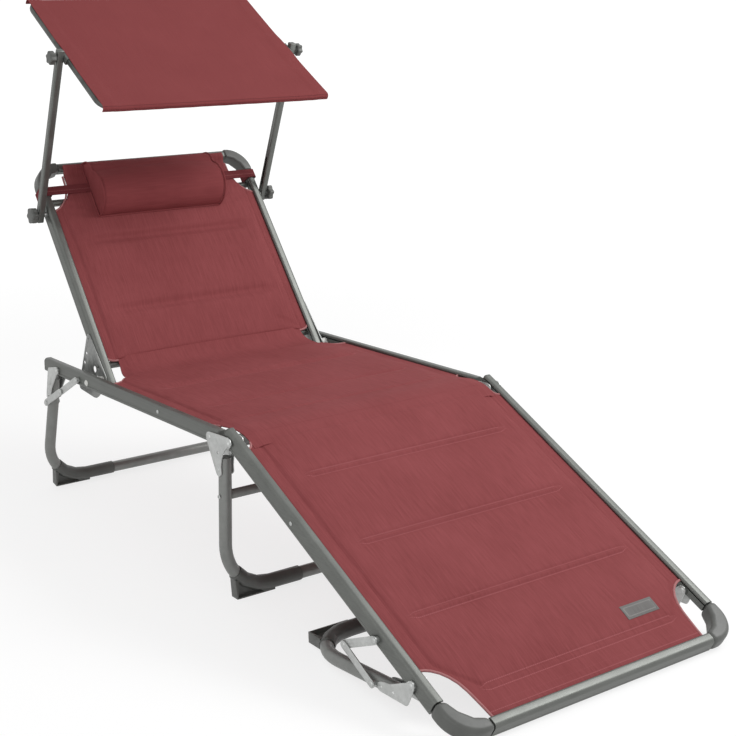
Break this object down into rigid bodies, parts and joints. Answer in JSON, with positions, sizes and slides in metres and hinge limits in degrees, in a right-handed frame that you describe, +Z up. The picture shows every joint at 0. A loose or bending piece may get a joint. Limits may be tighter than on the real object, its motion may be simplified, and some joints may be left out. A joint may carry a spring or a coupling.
{
  "type": "sun lounger",
  "caption": "Folding sun lounger on hinged legs, with a padded sling, reclining back, head pillow and a swivelling sunshade.",
  "frame": {"origin": "centre of the bounding box at floor level", "axes": "+X towards the foot end, +Y to the side named left, +Z up"},
  "size_m": [1.5334, 0.6908, 1.1127],
  "materials": {
    "aluminium_frame": "satin",
    "galvanised_steel": "satin",
    "dark_plastic": "matte",
    "white_nylon": "satin",
    "sling_fabric": "woven",
    "shade_fabric": "woven"
  },
  "bodies": {
    "seat": {"seat_rail_left": "aluminium_frame", "seat_rail_right": "aluminium_frame", "seat_pad": "sling_fabric", "recline_pin_left": "white_nylon", "recline_pin_right": "white_nylon", "recline_detent_left": "dark_plastic", "recline_detent_right": "dark_plastic"},
    "backrest": {"back_rail_left": "aluminium_frame", "back_rail_right": "aluminium_frame", "back_top_rail": "aluminium_frame", "back_elbow_left": "dark_plastic", "back_elbow_right": "dark_plastic", "back_lower_crossbar": "aluminium_frame", "back_upper_crossbar": "aluminium_frame", "recline_plate_left": "galvanised_steel", "recline_plate_right": "galvanised_steel", "back_pad": "sling_fabric", "pillow": "sling_fabric"},
    "mid_leg": {"mid_leg_tube": "aluminium_frame", "mid_leg_boot_left": "dark_plastic", "mid_leg_boot_right": "dark_plastic", "mid_hinge_left": "galvanised_steel", "mid_hinge_right": "galvanised_steel", "mid_leg_crossbar": "aluminium_frame"},
    "foot_section": {"foot_rail_left": "aluminium_frame", "foot_rail_right": "aluminium_frame", "foot_end_rail": "aluminium_frame", "foot_elbow_left": "dark_plastic", "foot_elbow_right": "dark_plastic", "foot_pad": "sling_fabric"},
    "rear_leg": {"rear_leg_tube": "aluminium_frame", "rear_leg_boot_left": "dark_plastic", "rear_leg_boot_right": "dark_plastic", "rear_leg_bracket_left": "galvanised_steel", "rear_leg_bracket_right": "galvanised_steel"},
    "foot_leg": {"foot_leg_tube": "aluminium_frame", "foot_leg_boot_left": "dark_plastic", "foot_leg_boot_right": "dark_plastic", "foot_leg_bracket_left": "galvanised_steel", "foot_leg_bracket_right": "galvanised_steel"},
    "rear_stay_upper": {"rear_stay_upper_left": "galvanised_steel", "rear_stay_upper_right": "galvanised_steel"},
    "rear_stay_lower": {"rear_stay_lower_left": "galvanised_steel", "rear_stay_lower_right": "galvanised_steel"},
    "foot_stay_upper": {"foot_stay_upper_left": "galvanised_steel", "foot_stay_upper_right": "galvanised_steel"},
    "foot_stay_lower": {"foot_stay_lower_left": "galvanised_steel", "foot_stay_lower_right": "galvanised_steel"},
    "canopy_arms": {"canopy_arm_left": "aluminium_frame", "canopy_arm_right": "aluminium_frame"},
    "canopy": {"canopy_rear_bow": "aluminium_frame", "canopy_front_bow": "aluminium_frame", "canopy_joint_left": "dark_plastic", "canopy_joint_right": "dark_plastic", "canopy_fabric": "shade_fabric"},
    "lower_knob_left": {"lower_knob_left": "dark_plastic"},
    "lower_knob_right": {"lower_knob_right": "dark_plastic"},
    "upper_knob_left": {"upper_knob_left": "dark_plastic"},
    "upper_knob_right": {"upper_knob_right": "dark_plastic"}
  },
  "joints": [
    {"name": "middle_fold", "type": "hinge", "parent": "seat", "child": "mid_leg", "pos_m": [0.06772, 0, 0.3214], "axis": [0, 1, 0], "range_deg": [0, 80]},
    {"name": "foot_fold", "type": "hinge", "parent": "mid_leg", "child": "foot_section", "pos_m": [0.13002, 0, 0.324], "axis": [0, 1, 0], "range_deg": [-26.4, 54]},
    {"name": "foot_leg_fold", "type": "hinge", "parent": "foot_section", "child": "foot_leg", "pos_m": [0.65026, 0, 0.06534], "axis": [0, 1, 0], "range_deg": [-73.3, 28.7]},
    {"name": "rear_leg_fold", "type": "hinge", "parent": "seat", "child": "rear_leg", "pos_m": [-0.5651, 0, 0.30616], "axis": [0, -1, 0], "range_deg": [0, 102]},
    {"name": "recline", "type": "hinge", "parent": "seat", "child": "backrest", "pos_m": [-0.42794, 0, 0.30946], "axis": [0, 1, 0], "range_deg": [-52.3, 80]},
    {"name": "shade_swing", "type": "hinge", "parent": "backrest", "child": "canopy_arms", "pos_m": [-0.68295, 0, 0.6394], "axis": [0, -1, 0], "range_deg": [-60, 150]},
    {"name": "shade_tilt", "type": "hinge", "parent": "canopy_arms", "child": "canopy", "pos_m": [-0.56303, 0, 0.99366], "axis": [0, -1, 0], "range_deg": [-60, 90]},
    {"name": "rear_stay_upper_fold", "type": "hinge", "parent": "seat", "child": "rear_stay_upper", "pos_m": [-0.4661, 0, 0.30734], "axis": [0, -1, 0], "range_deg": [0, 127]},
    {"name": "rear_stay_lower_fold", "type": "hinge", "parent": "rear_leg", "child": "rear_stay_lower", "pos_m": [-0.61187, 0, 0.22152], "axis": [0, -1, 0], "range_deg": [-135, 0]},
    {"name": "foot_stay_upper_fold", "type": "hinge", "parent": "foot_section", "child": "foot_stay_upper", "pos_m": [0.56108, 0, 0.10834], "axis": [0, 1, 0], "range_deg": [-91, 36]},
    {"name": "foot_stay_lower_fold", "type": "hinge", "parent": "foot_leg", "child": "foot_stay_lower", "pos_m": [0.55966, 0, 0.03154], "axis": [0, 1, 0], "range_deg": [-37, 94]},
    {"name": "lower_knob_left_turn", "type": "hinge", "parent": "backrest", "child": "lower_knob_left", "pos_m": [-0.68295, 0, 0.6394], "axis": [0, 1, 0], "range_deg": [0, 360]},
    {"name": "lower_knob_right_turn", "type": "hinge", "parent": "backrest", "child": "lower_knob_right", "pos_m": [-0.68295, 0, 0.6394], "axis": [0, 1, 0], "range_deg": [0, 360]},
    {"name": "upper_knob_left_turn", "type": "hinge", "parent": "canopy_arms", "child": "upper_knob_left", "pos_m": [-0.56303, 0, 0.99366], "axis": [0, 1, 0], "range_deg": [0, 360]},
    {"name": "upper_knob_right_turn", "type": "hinge", "parent": "canopy_arms", "child": "upper_knob_right", "pos_m": [-0.56303, 0, 0.99366], "axis": [0, 1, 0], "range_deg": [0, 360]}
  ],
  "couplings": [
    {"joint": "rear_stay_upper_fold", "follows": "rear_leg_fold", "ratio": 1.243},
    {"joint": "rear_stay_lower_fold", "follows": "rear_leg_fold", "ratio": -1.321},
    {"joint": "foot_stay_upper_fold", "follows": "foot_leg_fold", "ratio": 1.24},
    {"joint": "foot_stay_lower_fold", "follows": "foot_leg_fold", "ratio": -1.28}
  ]
}
